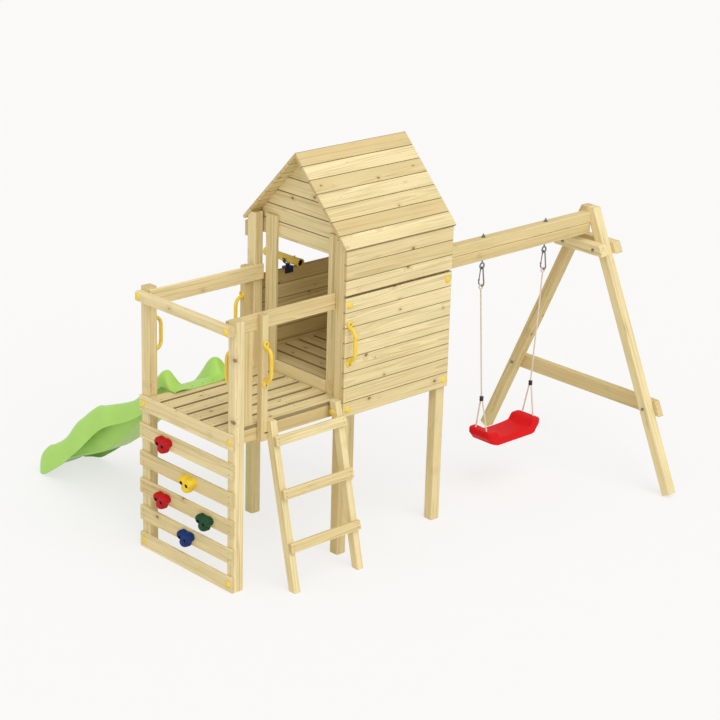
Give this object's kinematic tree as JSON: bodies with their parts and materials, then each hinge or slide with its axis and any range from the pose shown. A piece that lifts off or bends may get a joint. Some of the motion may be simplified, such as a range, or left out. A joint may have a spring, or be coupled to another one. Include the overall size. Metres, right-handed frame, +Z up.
{
  "type": "wooden climbing frame",
  "caption": "Wooden garden climbing frame: roofed tower, lower deck with climbing wall, ladder, wavy slide, telescope and a rope swing on a beam with leaning legs.",
  "frame": {"origin": "centre of the bounding box at ground level", "axes": "+X from the climbing wall to the swing legs, +Y from the ladder side to the slide side, +Z up"},
  "size_m": [3.276, 3.0106, 2.4193],
  "materials": {
    "pine": "matte",
    "slide_green": "satin",
    "seat_red": "satin",
    "yellow_plastic": "satin",
    "telescope_navy": "matte",
    "hold_red": "matte",
    "hold_yellow": "matte",
    "hold_green": "matte",
    "hold_blue": "matte",
    "steel": "satin",
    "rope": "matte",
    "collar": "matte"
  },
  "bodies": {
    "frame": {"post_wall_near": "pine", "post_wall_far": "pine", "post_door_near": "pine", "post_door_far": "pine", "post_swing_near": "pine", "post_swing_far": "pine", "climbing_boards": "pine", "holds_red": "hold_red", "hold_yellow": "hold_yellow", "hold_green": "hold_green", "hold_blue": "hold_blue", "wall_rail": "pine", "guard_rail_near": "pine", "guard_rail_far": "pine", "infill_board": "pine", "ladder_post": "pine", "slide_post": "pine", "deck_rims": "pine", "deck_joists": "pine", "deck_boards": "pine", "floor_bearers": "pine", "floor_boards": "pine", "step_board": "pine", "door_jambs": "pine", "panel_near_lower": "pine", "panel_near_upper": "pine", "panel_far": "pine", "eave_board_far": "pine", "panel_swing": "pine", "gable_door": "pine", "gable_swing": "pine", "wall_plates": "pine", "rafters": "pine", "roof_near": "pine", "roof_far": "pine", "swing_beam": "pine", "leg_near": "pine", "leg_far": "pine", "head_plates": "pine", "cross_brace": "pine", "eye_bolts": "steel", "eye_nuts": "steel", "ladder_sides": "pine", "ladder_rungs": "pine", "slide": "slide_green", "telescope_base": "telescope_navy", "handles_ladder": "yellow_plastic", "handles_deck": "yellow_plastic", "capped_bolts": "yellow_plastic", "swing_bolts": "steel"},
    "swing": {"hook_left": "steel", "hook_right": "steel", "rope_left": "rope", "rope_right": "rope", "rope_collars": "collar", "swing_seat": "seat_red"},
    "gate_left": {"gate_left": "steel"},
    "gate_right": {"gate_right": "steel"},
    "telescope_yoke": {"telescope_yoke": "telescope_navy"},
    "telescope_tube": {"telescope_tube": "yellow_plastic"}
  },
  "joints": [
    {"name": "swing_hinge", "type": "hinge", "parent": "frame", "child": "swing", "pos_m": [0.798, -0.64965, 1.55], "axis": [1, 0, 0], "range_deg": [-50, 50]},
    {"name": "gate_left_hinge", "type": "hinge", "parent": "swing", "child": "gate_left", "pos_m": [0.511, -0.62879, 1.4681], "axis": [1, 0, 0], "range_deg": [0, 14], "stiffness_Nm_per_rad": 0.02, "springref_deg": -11.46},
    {"name": "gate_right_hinge", "type": "hinge", "parent": "swing", "child": "gate_right", "pos_m": [1.085, -0.62879, 1.4681], "axis": [1, 0, 0], "range_deg": [0, 14], "stiffness_Nm_per_rad": 0.02, "springref_deg": -11.46},
    {"name": "telescope_pan", "type": "hinge", "parent": "frame", "child": "telescope_yoke", "pos_m": [-0.422, 0.12535, 1.558], "axis": [0, 0, 1], "range_deg": [-60, 60]},
    {"name": "telescope_tilt", "type": "hinge", "parent": "telescope_yoke", "child": "telescope_tube", "pos_m": [-0.422, 0.12535, 1.605], "axis": [1, 0, 0], "range_deg": [-18, 18]}
  ]
}
